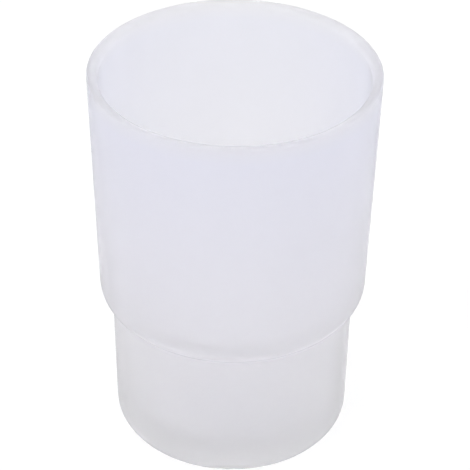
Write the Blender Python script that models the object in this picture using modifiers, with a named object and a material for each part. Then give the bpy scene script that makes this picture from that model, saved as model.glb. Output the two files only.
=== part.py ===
"""A stepped glass tumbler for a bathroom wall holder, frosted all over.

The glass is turned about Z and stands on Z = 0, with the origin at the centre of its standing ring.
Its wide upper part steps in at a shoulder to a narrower foot. The foot goes down through the ring of
a wall holder, and the shoulder then rests on that ring. All sizes are in metres.
"""

import math

import bpy

MM = 0.001

# Outside of the glass, measured to the corners before they are rounded
HEIGHT = 98.4 * MM
RIM_DIAMETER = 68.0 * MM
SHOULDER_DIAMETER = 64.9 * MM
SHOULDER_HEIGHT = 38.25 * MM
SHOULDER_SLOPE = math.radians(33.0)
NECK_DIAMETER = 59.0 * MM
FOOT_DIAMETER = 58.0 * MM
SHOULDER_ROUND = 5.2 * MM
NECK_ROUND = 1.2 * MM
FOOT_ROUND = 4.2 * MM
LIP_OUTER_ROUND = 0.7 * MM

# Thickness of the glass
LIP_THICKNESS = 2.6 * MM
UPPER_WALL = 2.6 * MM
LEDGE_THICKNESS = 4.7 * MM
FOOT_WALL = 3.8 * MM
FLOOR_THICKNESS = 8.5 * MM

# Roundings inside the cup, from the lip down
LIP_INNER_ROUND = 1.9 * MM
LEDGE_ROUND = 1.5 * MM
WELL_ROUND = 1.5 * MM
FLOOR_ROUND = 2.0 * MM

# Shallow hollow under the base, which leaves a flat standing ring round it
HOLLOW_DIAMETER = 40.0 * MM
HOLLOW_DEPTH = 1.5 * MM
HOLLOW_ROUND = 1.5 * MM

# How finely round shapes are cut into straight steps
TURN_STEPS = 96
CHORD_ERROR = 0.03 * MM
SAME_PLACE = 0.001 * MM

# Look of the frosted glass
FROST_COLOUR = (0.76, 0.76, 0.82, 1.0)
FROST_ROUGHNESS = 0.55
GLASS_IOR = 1.5
GLASS_TRANSMISSION = 0.6


def clear_scene():
    """Remove every object that the scene starts with."""
    for thing in list(bpy.data.objects):
        bpy.data.objects.remove(thing, do_unlink=True)


def make_collection(name):
    """Return a new collection, linked to the scene."""
    collection = bpy.data.collections.new(name)
    bpy.context.scene.collection.children.link(collection)
    return collection


def frosted_glass():
    """Frosted glass: pale, slightly blue, with a blurred shine."""
    material = bpy.data.materials.new("frosted_glass")
    material.use_nodes = True
    shader = material.node_tree.nodes["Principled BSDF"]
    shader.inputs["Base Color"].default_value = FROST_COLOUR
    shader.inputs["Roughness"].default_value = FROST_ROUGHNESS
    shader.inputs["Metallic"].default_value = 0.0
    shader.inputs["IOR"].default_value = GLASS_IOR
    shader.inputs["Transmission Weight"].default_value = GLASS_TRANSMISSION
    return material


def turn_angle(before, corner, after):
    """Angle by which an outline turns at a corner, and its direction as it arrives there."""
    arriving = math.atan2(corner[1] - before[1], corner[0] - before[0])
    leaving = math.atan2(after[1] - corner[1], after[0] - corner[0])
    return math.remainder(leaving - arriving, 2.0 * math.pi), arriving


def tangent_lengths(corners):
    """How far each rounding reaches along its edges, shortened where two would meet."""
    wanted = [0.0] * len(corners)
    for i in range(1, len(corners) - 1):
        turn, _ = turn_angle(corners[i - 1], corners[i], corners[i + 1])
        wanted[i] = corners[i][2] * math.tan(abs(turn) / 2.0)
    share = [1.0] * len(corners)
    for i in range(len(corners) - 1):
        edge = math.dist(corners[i][:2], corners[i + 1][:2])
        needed = wanted[i] + wanted[i + 1]
        if needed > edge:
            share[i] = min(share[i], edge / needed)
            share[i + 1] = min(share[i + 1], edge / needed)
    return [length * part for length, part in zip(wanted, share)]


def corner_arc(before, corner, after, reach):
    """Points of the arc that replaces a corner and starts the given reach before it."""
    turn, arriving = turn_angle(before, corner, after)
    radius = reach / math.tan(abs(turn) / 2.0)
    side = math.copysign(1.0, turn)
    start_x = corner[0] - reach * math.cos(arriving)
    start_z = corner[1] - reach * math.sin(arriving)
    centre_x = start_x - side * radius * math.sin(arriving)
    centre_z = start_z + side * radius * math.cos(arriving)
    widest_step = 2.0 * math.acos(max(0.0, 1.0 - CHORD_ERROR / radius))
    steps = max(2, math.ceil(abs(turn) / widest_step))
    points = []
    for i in range(steps + 1):
        heading = arriving + turn * i / steps
        x = centre_x + side * radius * math.sin(heading)
        z = centre_z - side * radius * math.cos(heading)
        points.append((x, z))
    return points


def rounded_outline(corners):
    """Turn corners (radius, height, rounding) into points, with an arc at each rounded one."""
    reaches = tangent_lengths(corners)
    points = []
    for i, corner in enumerate(corners):
        if reaches[i] > SAME_PLACE:
            step = corner_arc(corners[i - 1], corner, corners[i + 1], reaches[i])
        else:
            step = [corner[:2]]
        for point in step:
            if not points or math.dist(points[-1], point) > SAME_PLACE:
                points.append(point)
    return points


def inside_corners():
    """Corners of the cup's inside, from the middle of the floor up to the rim."""
    slope = math.tan(SHOULDER_SLOPE)
    ledge_rise = LEDGE_THICKNESS / math.cos(SHOULDER_SLOPE)
    ledge_radius = SHOULDER_DIAMETER / 2.0 - UPPER_WALL
    ledge_height = SHOULDER_HEIGHT - UPPER_WALL * slope + ledge_rise
    well_radius = NECK_DIAMETER / 2.0 - FOOT_WALL
    well_height = ledge_height - (ledge_radius - well_radius) * slope
    floor_radius = FOOT_DIAMETER / 2.0 - FOOT_WALL
    lip_radius = RIM_DIAMETER / 2.0 - LIP_THICKNESS
    return [
        (0.0, FLOOR_THICKNESS, 0.0),
        (floor_radius, FLOOR_THICKNESS, FLOOR_ROUND),
        (well_radius, well_height, WELL_ROUND),
        (ledge_radius, ledge_height, LEDGE_ROUND),
        (lip_radius, HEIGHT, LIP_INNER_ROUND),
    ]


def outside_corners():
    """Corners of the outside, from the rim down to the middle of the hollow under the base."""
    shoulder_radius = SHOULDER_DIAMETER / 2.0
    neck_radius = NECK_DIAMETER / 2.0
    neck_height = SHOULDER_HEIGHT - (shoulder_radius - neck_radius) * math.tan(SHOULDER_SLOPE)
    hollow_radius = HOLLOW_DIAMETER / 2.0
    hollow_top = hollow_radius - HOLLOW_DEPTH
    return [
        (RIM_DIAMETER / 2.0, HEIGHT, LIP_OUTER_ROUND),
        (shoulder_radius, SHOULDER_HEIGHT, SHOULDER_ROUND),
        (neck_radius, neck_height, NECK_ROUND),
        (FOOT_DIAMETER / 2.0, 0.0, FOOT_ROUND),
        (hollow_radius, 0.0, 0.0),
        (hollow_top, HOLLOW_DEPTH, HOLLOW_ROUND),
        (0.0, HOLLOW_DEPTH, 0.0),
    ]


def turned_object(name, points, material, collection):
    """Make an object by turning an outline about Z with a Screw modifier."""
    mesh = bpy.data.meshes.new(name)
    vertices = [(x, 0.0, z) for x, z in points]
    edges = [(i, i + 1) for i in range(len(points) - 1)]
    mesh.from_pydata(vertices, edges, [])
    mesh.materials.append(material)
    thing = bpy.data.objects.new(name, mesh)
    collection.objects.link(thing)
    screw = thing.modifiers.new("turn", "SCREW")
    screw.axis = "Z"
    screw.angle = 2.0 * math.pi
    screw.steps = TURN_STEPS
    screw.render_steps = TURN_STEPS
    screw.use_merge_vertices = True
    screw.merge_threshold = SAME_PLACE
    screw.use_smooth_shade = True
    return thing


def build_tumbler(collection):
    """The glass: one closed body, from the floor of the cup over the rim to the base."""
    points = rounded_outline(inside_corners() + outside_corners())
    return turned_object("tumbler", points, frosted_glass(), collection)


def main():
    clear_scene()
    build_tumbler(make_collection("stepped_tumbler"))


main()
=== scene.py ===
"""The looks of the stepped frosted tumbler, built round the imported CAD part.

The glass is turned from the outline of the CAD solid, cut more finely, and stands on Z = 0. Its frost
is a rough surface over a clear body, so light comes through it blurred. All sizes are in metres.
"""

import math

import bpy
from mathutils import Matrix, Vector


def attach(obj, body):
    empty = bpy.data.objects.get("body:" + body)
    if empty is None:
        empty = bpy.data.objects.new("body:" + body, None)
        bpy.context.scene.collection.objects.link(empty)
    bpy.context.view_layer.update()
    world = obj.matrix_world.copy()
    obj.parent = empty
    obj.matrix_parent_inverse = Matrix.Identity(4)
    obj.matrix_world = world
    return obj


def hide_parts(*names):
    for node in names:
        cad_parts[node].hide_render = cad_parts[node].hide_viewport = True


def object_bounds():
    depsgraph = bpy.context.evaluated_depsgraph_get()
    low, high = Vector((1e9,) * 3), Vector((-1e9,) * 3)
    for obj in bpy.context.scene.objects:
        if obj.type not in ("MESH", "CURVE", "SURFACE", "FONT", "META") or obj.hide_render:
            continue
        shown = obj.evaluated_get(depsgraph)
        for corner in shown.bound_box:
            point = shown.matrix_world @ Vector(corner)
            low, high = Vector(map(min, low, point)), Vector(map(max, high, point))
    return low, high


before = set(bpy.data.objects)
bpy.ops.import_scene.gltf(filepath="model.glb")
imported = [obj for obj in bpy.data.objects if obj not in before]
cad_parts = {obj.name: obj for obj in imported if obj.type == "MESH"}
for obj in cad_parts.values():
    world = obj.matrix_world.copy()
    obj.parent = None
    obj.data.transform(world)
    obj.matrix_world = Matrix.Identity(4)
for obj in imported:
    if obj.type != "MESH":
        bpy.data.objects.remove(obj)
cad_low, cad_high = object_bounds()

MM = 0.001

# Outside of the glass, measured to the corners before they are rounded
HEIGHT = cad_high.z
RIM_RADIUS = 34.0 * MM
SHOULDER_RADIUS = 32.45 * MM
SHOULDER_HEIGHT = 38.25 * MM
SHOULDER_SLOPE = math.radians(33.0)
NECK_RADIUS = 29.5 * MM
FOOT_RADIUS = 29.0 * MM
SHOULDER_ROUND = 5.2 * MM
NECK_ROUND = 1.2 * MM
FOOT_ROUND = 4.2 * MM
LIP_OUTER_ROUND = 0.7 * MM

# Thickness of the glass
LIP_THICKNESS = 2.6 * MM
UPPER_WALL = 2.6 * MM
LEDGE_THICKNESS = 4.7 * MM
FOOT_WALL = 3.8 * MM
FLOOR_THICKNESS = 8.5 * MM

# Roundings inside the cup, from the lip down
LIP_INNER_ROUND = 1.9 * MM
LEDGE_ROUND = 1.5 * MM
WELL_ROUND = 1.5 * MM
FLOOR_ROUND = 2.0 * MM

# Shallow hollow under the base, which leaves a flat standing ring round it
HOLLOW_RADIUS = 20.0 * MM
HOLLOW_DEPTH = 1.5 * MM
HOLLOW_ROUND = 1.5 * MM

# How finely the round shapes are cut into straight steps
TURN_STEPS = 240
CHORD_ERROR = 0.001 * MM
SAME_PLACE = 0.001 * MM

# Cool tint of the glass with painted shade at heights above its base: lightest at the base, darker up
# through the shoulder to the upper wall, and a little lighter and greyer at the rim
GLASS_TINTS_AND_PAINTED_SHADE = (
    (0.0 * MM, (0.998, 0.995, 1.0)),
    (38.0 * MM, (0.981, 0.975, 0.995)),
    (94.0 * MM, (0.932, 0.935, 0.985)),
    (HEIGHT, (0.952, 0.947, 0.955)),
)
# Painted cool shade on the glass's surface inside the cup: red and green a little lower, so bluer
# there
INSIDE_PAINTED_COOL_SHADE = (0.982, 0.983, 1.0)

# Body of the glass: how much light it lets through, and what it keeps of that on the way
GLASS_IOR = 1.5
GLASS_CLEARNESS = 0.961
ABSORBED_PER_METRE = 7.0
ABSORPTION_COLOUR = (0.0, 0.0, 0.0)

# Frost, which looks glossier where it is seen at a grazing angle: from the first value of Layer
# Weight's Facing on, the roughness falls to a share of itself
FROST_ROUGHNESS = 0.7
ROUGHNESS_SPREAD = 0.03
GRAZING_FROM = 0.8
GRAZING_SHARE = 0.29

# Unevenness of the etching: wide faint clouds in tint and roughness, and a fine grain in relief
NOISE_ENDS = (0.25, 0.75)
CLOUD_SIZE = 6.0 * MM
CLOUD_DETAIL = 2.0
CLOUD_SPREAD = 0.012
GRAIN_SIZE = 0.35 * MM
GRAIN_DETAIL = 3.0
GRAIN_RELIEF = 0.01 * MM
GRAIN_STRENGTH = 0.35

# White floor: its colour for the light that it throws back, for rays off or through the glass and for
# the camera's own view. The glow in the last two keeps it white and the shadow on it soft.
FLOOR_HALF = 3.0
FLOOR_COLOUR = 0.9
BENT_FLOOR_COLOUR = 0.81
BENT_FLOOR_GLOW = 0.16
SEEN_FLOOR_COLOUR = 0.45
SEEN_FLOOR_GLOW = 0.62

# White room with a dimmer ceiling, which starts and is full at these sines of the angle looked up
ROOM_LEVEL = 1.01
CEILING_LEVEL = 0.687
CEILING_START = 0.4
CEILING_FULL = 0.6

# Two soft lamps: name, place, and the level that each alone gives a white floor at the target
LAMP_SIZE = 1.0
LAMPS = (
    ("lamp_left", (-1.0, -0.7, 0.8), 0.147),
    ("lamp_right", (1.0, -0.7, 0.8), 0.092),
)
LAMP_TARGET = (0.0, 0.0, 50.0 * MM)

# How often light may go through the glass or be thrown back before it is given up
DIFFUSE_BOUNCES = 4
GLOSSY_BOUNCES = 8
GLASS_BOUNCES = 16

# Camera, as fitted to the photograph's outline
CAMERA_PLACE = (0.0, -375.9 * MM, 317.7 * MM)
CAMERA_PITCH = math.radians(35.25)
CAMERA_YAW = math.radians(0.072)
CAMERA_ROLL = math.radians(0.748)
CAMERA_FOCAL_PIXELS = 1900.0
CAMERA_NEAR = 0.01
CAMERA_FAR = 20.0
PHOTO_SIDE = 470.0
SENSOR_WIDTH = 36.0


def turn_angle(before, corner, after):
    """Angle by which an outline turns at a corner, and its direction as it arrives there."""
    arriving = math.atan2(corner[1] - before[1], corner[0] - before[0])
    leaving = math.atan2(after[1] - corner[1], after[0] - corner[0])
    return math.remainder(leaving - arriving, 2.0 * math.pi), arriving


def tangent_lengths(corners):
    """How far each rounding reaches along its edges, shortened where two would meet."""
    wanted = [0.0] * len(corners)
    for i in range(1, len(corners) - 1):
        turn, _ = turn_angle(corners[i - 1], corners[i], corners[i + 1])
        wanted[i] = corners[i][2] * math.tan(abs(turn) / 2.0)
    share = [1.0] * len(corners)
    for i in range(len(corners) - 1):
        edge = math.dist(corners[i][:2], corners[i + 1][:2])
        needed = wanted[i] + wanted[i + 1]
        if needed > edge:
            share[i] = min(share[i], edge / needed)
            share[i + 1] = min(share[i + 1], edge / needed)
    return [length * part for length, part in zip(wanted, share)]


def corner_arc(before, corner, after, reach):
    """Points of the arc that replaces a corner and starts the given reach before it."""
    turn, arriving = turn_angle(before, corner, after)
    radius = reach / math.tan(abs(turn) / 2.0)
    side = math.copysign(1.0, turn)
    centre_x = corner[0] - reach * math.cos(arriving) - side * radius * math.sin(arriving)
    centre_z = corner[1] - reach * math.sin(arriving) + side * radius * math.cos(arriving)
    widest_step = 2.0 * math.acos(max(0.0, 1.0 - CHORD_ERROR / radius))
    steps = max(2, math.ceil(abs(turn) / widest_step))
    points = []
    for i in range(steps + 1):
        heading = arriving + turn * i / steps
        x = centre_x + side * radius * math.sin(heading)
        z = centre_z - side * radius * math.cos(heading)
        points.append((x, z))
    return points


def rounded_outline(corners):
    """Turn corners (radius, height, rounding) into points, with an arc at each rounded one."""
    reaches = tangent_lengths(corners)
    points = []
    for i, corner in enumerate(corners):
        if reaches[i] > SAME_PLACE:
            step = corner_arc(corners[i - 1], corner, corners[i + 1], reaches[i])
        else:
            step = [corner[:2]]
        for point in step:
            if not points or math.dist(points[-1], point) > SAME_PLACE:
                points.append(point)
    return points


def inside_corners():
    """Corners of the cup's inside, from the middle of its floor up to the rim."""
    slope = math.tan(SHOULDER_SLOPE)
    ledge_rise = LEDGE_THICKNESS / math.cos(SHOULDER_SLOPE)
    ledge_radius = SHOULDER_RADIUS - UPPER_WALL
    ledge_height = SHOULDER_HEIGHT - UPPER_WALL * slope + ledge_rise
    well_radius = NECK_RADIUS - FOOT_WALL
    well_height = ledge_height - (ledge_radius - well_radius) * slope
    return [
        (0.0, FLOOR_THICKNESS, 0.0),
        (FOOT_RADIUS - FOOT_WALL, FLOOR_THICKNESS, FLOOR_ROUND),
        (well_radius, well_height, WELL_ROUND),
        (ledge_radius, ledge_height, LEDGE_ROUND),
        (RIM_RADIUS - LIP_THICKNESS, HEIGHT, LIP_INNER_ROUND),
    ]


def outside_corners():
    """Corners of the outside, from the rim down to the middle of the hollow under the base."""
    neck_height = SHOULDER_HEIGHT - (SHOULDER_RADIUS - NECK_RADIUS) * math.tan(SHOULDER_SLOPE)
    return [
        (RIM_RADIUS, HEIGHT, LIP_OUTER_ROUND),
        (SHOULDER_RADIUS, SHOULDER_HEIGHT, SHOULDER_ROUND),
        (NECK_RADIUS, neck_height, NECK_ROUND),
        (FOOT_RADIUS, 0.0, FOOT_ROUND),
        (HOLLOW_RADIUS, 0.0, 0.0),
        (HOLLOW_RADIUS - HOLLOW_DEPTH, HOLLOW_DEPTH, HOLLOW_ROUND),
        (0.0, HOLLOW_DEPTH, 0.0),
    ]


def mark_inside(mesh, points):
    """Mark vertices with 1 in the cup and 0 outside it, fading over the lip's inner rounding."""
    rim = max(range(len(points)), key=lambda i: points[i][1])
    marks = mesh.attributes.new("inside", "FLOAT", "POINT")
    for number, mark in enumerate(marks.data):
        ring = 1 + (number - 1) // TURN_STEPS
        below_lip = (HEIGHT - points[ring][1]) / LIP_INNER_ROUND
        mark.value = min(1.0, below_lip) if ring <= rim else 0.0


def turned_mesh(name, points):
    """Rings of quads from an outline that starts and ends on the axis."""
    inner = points[1:-1]
    vertices = [(0.0, 0.0, points[0][1])]
    for x, z in inner:
        for step in range(TURN_STEPS):
            angle = 2.0 * math.pi * step / TURN_STEPS
            vertices.append((x * math.cos(angle), x * math.sin(angle), z))
    vertices.append((0.0, 0.0, points[-1][1]))
    faces = []
    last = len(vertices) - 1
    top_ring = 1 + (len(inner) - 1) * TURN_STEPS
    for step in range(TURN_STEPS):
        after = (step + 1) % TURN_STEPS
        faces.append((0, 1 + step, 1 + after))
        for ring in range(len(inner) - 1):
            low = 1 + ring * TURN_STEPS
            high = low + TURN_STEPS
            faces.append((low + step, high + step, high + after, low + after))
        faces.append((top_ring + step, last, top_ring + after))
    mesh = bpy.data.meshes.new(name)
    mesh.from_pydata(vertices, [], faces)
    mesh.validate()
    mesh.update()
    mesh.shade_smooth()
    mark_inside(mesh, points)
    return mesh


def link(thing):
    """Put an object into the scene and hand it back."""
    bpy.context.scene.collection.objects.link(thing)
    return thing


def grey(level):
    """A colour with the same level in red, green and blue."""
    return (level, level, level, 1.0)


def new_material(name):
    """A material with nodes, its tree and its shader's sockets."""
    material = bpy.data.materials.new(name)
    material.use_nodes = True
    tree = material.node_tree
    return material, tree, tree.nodes["Principled BSDF"].inputs


def noise(tree, size, detail):
    """Noise of the given grain size in metres, fixed to the glass."""
    place = tree.nodes.new("ShaderNodeTexCoord")
    texture = tree.nodes.new("ShaderNodeTexNoise")
    texture.inputs["Scale"].default_value = 1.0 / size
    texture.inputs["Detail"].default_value = detail
    tree.links.new(place.outputs["Object"], texture.inputs["Vector"])
    return texture.outputs["Fac"]


def mapped(tree, value, ends, results, curve="LINEAR"):
    """Map a value that runs between two ends to the two results for them."""
    span = tree.nodes.new("ShaderNodeMapRange")
    span.interpolation_type = curve
    span.inputs["From Min"].default_value = ends[0]
    span.inputs["From Max"].default_value = ends[1]
    span.inputs["To Min"].default_value = results[0]
    span.inputs["To Max"].default_value = results[1]
    tree.links.new(value, span.inputs["Value"])
    return span.outputs["Result"]


def spread_about(tree, value, middle, spread):
    """Turn a noise value into one that swings by the spread about the middle."""
    return mapped(tree, value, NOISE_ENDS, (middle - spread, middle + spread))


def upward_part(tree, coordinates):
    """Z of the named texture coordinates."""
    place = tree.nodes.new("ShaderNodeTexCoord")
    split = tree.nodes.new("ShaderNodeSeparateXYZ")
    tree.links.new(place.outputs[coordinates], split.inputs["Vector"])
    return split.outputs["Z"]


def times(tree, first, second):
    """Multiply two colours."""
    product = tree.nodes.new("ShaderNodeMix")
    product.data_type = "RGBA"
    product.blend_type = "MULTIPLY"
    product.inputs["Factor"].default_value = 1.0
    tree.links.new(first, product.inputs["A"])
    tree.links.new(second, product.inputs["B"])
    return product.outputs["Result"]


def tint_and_painted_shade_by_height(tree):
    """The glass's cool tint with painted shade, blended between the heights that it is given at."""
    climb = mapped(tree, upward_part(tree, "Object"), (0.0, HEIGHT), (0.0, 1.0))
    ramp = tree.nodes.new("ShaderNodeValToRGB")
    stops = ramp.color_ramp.elements
    stops.remove(stops[1])
    stops[0].color = (*GLASS_TINTS_AND_PAINTED_SHADE[0][1], 1.0)
    for height, colour in GLASS_TINTS_AND_PAINTED_SHADE[1:]:
        stops.new(min(1.0, height / HEIGHT)).color = (*colour, 1.0)
    tree.links.new(climb, ramp.inputs["Fac"])
    return ramp.outputs["Color"]


def paint_cool_shade_inside(tree):
    """White on the outside of the glass, and painted cool shade on the surface in the cup."""
    marks = tree.nodes.new("ShaderNodeAttribute")
    marks.attribute_name = "inside"
    tint_and_shade = tree.nodes.new("ShaderNodeMix")
    tint_and_shade.data_type = "RGBA"
    tint_and_shade.inputs["A"].default_value = grey(1.0)
    tint_and_shade.inputs["B"].default_value = (*INSIDE_PAINTED_COOL_SHADE, 1.0)
    tree.links.new(marks.outputs["Fac"], tint_and_shade.inputs["Factor"])
    return tint_and_shade.outputs["Result"]


def glossier_at_edges(tree, rough):
    """Lower the roughness at grazing angles, where any rough surface looks glossier."""
    angle = tree.nodes.new("ShaderNodeLayerWeight")
    share = mapped(tree, angle.outputs["Facing"], (GRAZING_FROM, 1.0), (1.0, GRAZING_SHARE))
    lowered = tree.nodes.new("ShaderNodeMath")
    lowered.operation = "MULTIPLY"
    tree.links.new(rough, lowered.inputs[0])
    tree.links.new(share, lowered.inputs[1])
    return lowered.outputs["Value"]


def etched_grain(tree):
    """The fine relief that the etching leaves."""
    grain = tree.nodes.new("ShaderNodeBump")
    grain.inputs["Strength"].default_value = GRAIN_STRENGTH
    grain.inputs["Distance"].default_value = GRAIN_RELIEF
    tree.links.new(noise(tree, GRAIN_SIZE, GRAIN_DETAIL), grain.inputs["Height"])
    return grain.outputs["Normal"]


def clear_body(tree):
    """What the glass keeps of the light on its way between the two surfaces."""
    body = tree.nodes.new("ShaderNodeVolumeAbsorption")
    body.inputs["Color"].default_value = (*ABSORPTION_COLOUR, 1.0)
    body.inputs["Density"].default_value = ABSORBED_PER_METRE
    return body.outputs["Volume"]


def frosted_glass():
    """Satin-etched glass: light comes through blurred, and the etching is a little uneven."""
    material, tree, shader = new_material("satin_glass")
    shader["IOR"].default_value = GLASS_IOR
    shader["Transmission Weight"].default_value = GLASS_CLEARNESS
    clouds = noise(tree, CLOUD_SIZE, CLOUD_DETAIL)
    cloudy = spread_about(tree, clouds, 1.0 - CLOUD_SPREAD, CLOUD_SPREAD)
    # Cool tint with painted shade by height, times the painted cool shade on the surface in the cup
    tint_and_shade = times(tree, tint_and_painted_shade_by_height(tree), paint_cool_shade_inside(tree))
    tree.links.new(times(tree, tint_and_shade, cloudy), shader["Base Color"])
    rough = spread_about(tree, clouds, FROST_ROUGHNESS, ROUGHNESS_SPREAD)
    tree.links.new(glossier_at_edges(tree, rough), shader["Roughness"])
    tree.links.new(etched_grain(tree), shader["Normal"])
    tree.links.new(clear_body(tree), tree.nodes["Material Output"].inputs["Volume"])
    return material


def make_tumbler():
    """The glass in one piece, in place of the CAD node."""
    outline = rounded_outline(inside_corners() + outside_corners())
    piece = link(bpy.data.objects.new("frosted_tumbler", turned_mesh("frosted_tumbler", outline)))
    piece.data.materials.append(frosted_glass())
    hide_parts("tumbler")
    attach(piece, "root")


def grey_where(tree, kind, level):
    """A mix node that gives a grey of the level where the kind of ray is 1, and else its A."""
    mix = tree.nodes.new("ShaderNodeMix")
    mix.data_type = "RGBA"
    mix.inputs["B"].default_value = grey(level)
    tree.links.new(kind, mix.inputs["Factor"])
    return mix


def floor_levels(tree, thrown, bent, seen):
    """A grey for thrown light, one for light off or through the glass, and one for the camera."""
    rays = tree.nodes.new("ShaderNodeLightPath")
    glass_ray = tree.nodes.new("ShaderNodeMath")
    glass_ray.operation = "MAXIMUM"
    tree.links.new(rays.outputs["Is Glossy Ray"], glass_ray.inputs[0])
    tree.links.new(rays.outputs["Is Transmission Ray"], glass_ray.inputs[1])
    light = grey_where(tree, glass_ray.outputs["Value"], bent)
    light.inputs["A"].default_value = grey(thrown)
    view = grey_where(tree, rays.outputs["Is Camera Ray"], seen)
    tree.links.new(light.outputs["Result"], view.inputs["A"])
    return view.outputs["Result"]


def white_floor():
    """A floor that looks white and still keeps a soft shadow of the glass."""
    material, tree, shader = new_material("white_floor")
    shader["Roughness"].default_value = 1.0
    shader["Specular IOR Level"].default_value = 0.0
    colour = floor_levels(tree, FLOOR_COLOUR, BENT_FLOOR_COLOUR, SEEN_FLOOR_COLOUR)
    tree.links.new(colour, shader["Base Color"])
    glow = floor_levels(tree, 0.0, BENT_FLOOR_GLOW, SEEN_FLOOR_GLOW)
    tree.links.new(glow, shader["Emission Color"])
    shader["Emission Strength"].default_value = 1.0
    return material


def make_floor():
    """The wide flat floor that the glass stands on."""
    half = FLOOR_HALF
    mesh = bpy.data.meshes.new("floor")
    corners = [(-half, -half, 0.0), (half, -half, 0.0), (half, half, 0.0), (-half, half, 0.0)]
    mesh.from_pydata(corners, [], [(0, 1, 2, 3)])
    mesh.materials.append(white_floor())
    link(bpy.data.objects.new("floor", mesh))


def make_world():
    """A white room that dims towards its ceiling."""
    world = bpy.data.worlds.new("studio")
    bpy.context.scene.world = world
    world.use_nodes = True
    tree = world.node_tree
    looked_up = upward_part(tree, "Generated")
    ceiling = (CEILING_START, CEILING_FULL)
    level = mapped(tree, looked_up, ceiling, (ROOM_LEVEL, CEILING_LEVEL), "SMOOTHSTEP")
    sky = tree.nodes["Background"]
    sky.inputs["Color"].default_value = grey(1.0)
    tree.links.new(level, sky.inputs["Strength"])


def make_lamp(name, place, fill):
    """A soft round lamp that by itself would light a white floor at the target to the fill level."""
    reach = Vector(place) - Vector(LAMP_TARGET)
    light = bpy.data.lights.new(name, "AREA")
    light.shape = "DISK"
    light.size = LAMP_SIZE
    light.energy = fill * math.pi * math.pi * reach.length_squared / reach.normalized().z
    lamp = link(bpy.data.objects.new(name, light))
    lamp.location = place
    lamp.rotation_euler = reach.to_track_quat("Z", "Y").to_euler()


def set_bounces():
    """Enough bounces for light to get through both walls of the cup and back."""
    cycles = bpy.context.scene.cycles
    cycles.max_bounces = GLASS_BOUNCES
    cycles.diffuse_bounces = DIFFUSE_BOUNCES
    cycles.glossy_bounces = GLOSSY_BOUNCES
    cycles.transmission_bounces = GLASS_BOUNCES


def make_camera():
    """The camera at the photograph's place, turned by its yaw, pitch and roll."""
    camera = link(bpy.data.objects.new("camera", bpy.data.cameras.new("camera")))
    camera.data.sensor_width = SENSOR_WIDTH
    camera.data.lens = CAMERA_FOCAL_PIXELS * SENSOR_WIDTH / PHOTO_SIDE
    camera.data.clip_start = CAMERA_NEAR
    camera.data.clip_end = CAMERA_FAR
    forward = Vector((
        math.sin(CAMERA_YAW) * math.cos(CAMERA_PITCH),
        math.cos(CAMERA_YAW) * math.cos(CAMERA_PITCH),
        -math.sin(CAMERA_PITCH),
    ))
    level = Vector((math.cos(CAMERA_YAW), -math.sin(CAMERA_YAW), 0.0))
    above = level.cross(forward)
    right = level * math.cos(CAMERA_ROLL) + above * math.sin(CAMERA_ROLL)
    up = above * math.cos(CAMERA_ROLL) - level * math.sin(CAMERA_ROLL)
    turn = Matrix((right, up, -forward)).transposed()
    camera.matrix_world = Matrix.Translation(CAMERA_PLACE) @ turn.to_4x4()
    bpy.context.scene.camera = camera


make_tumbler()
make_floor()
make_world()
for lamp_values in LAMPS:
    make_lamp(*lamp_values)
set_bounces()
make_camera()
bpy.context.scene.view_settings.view_transform = "Standard"
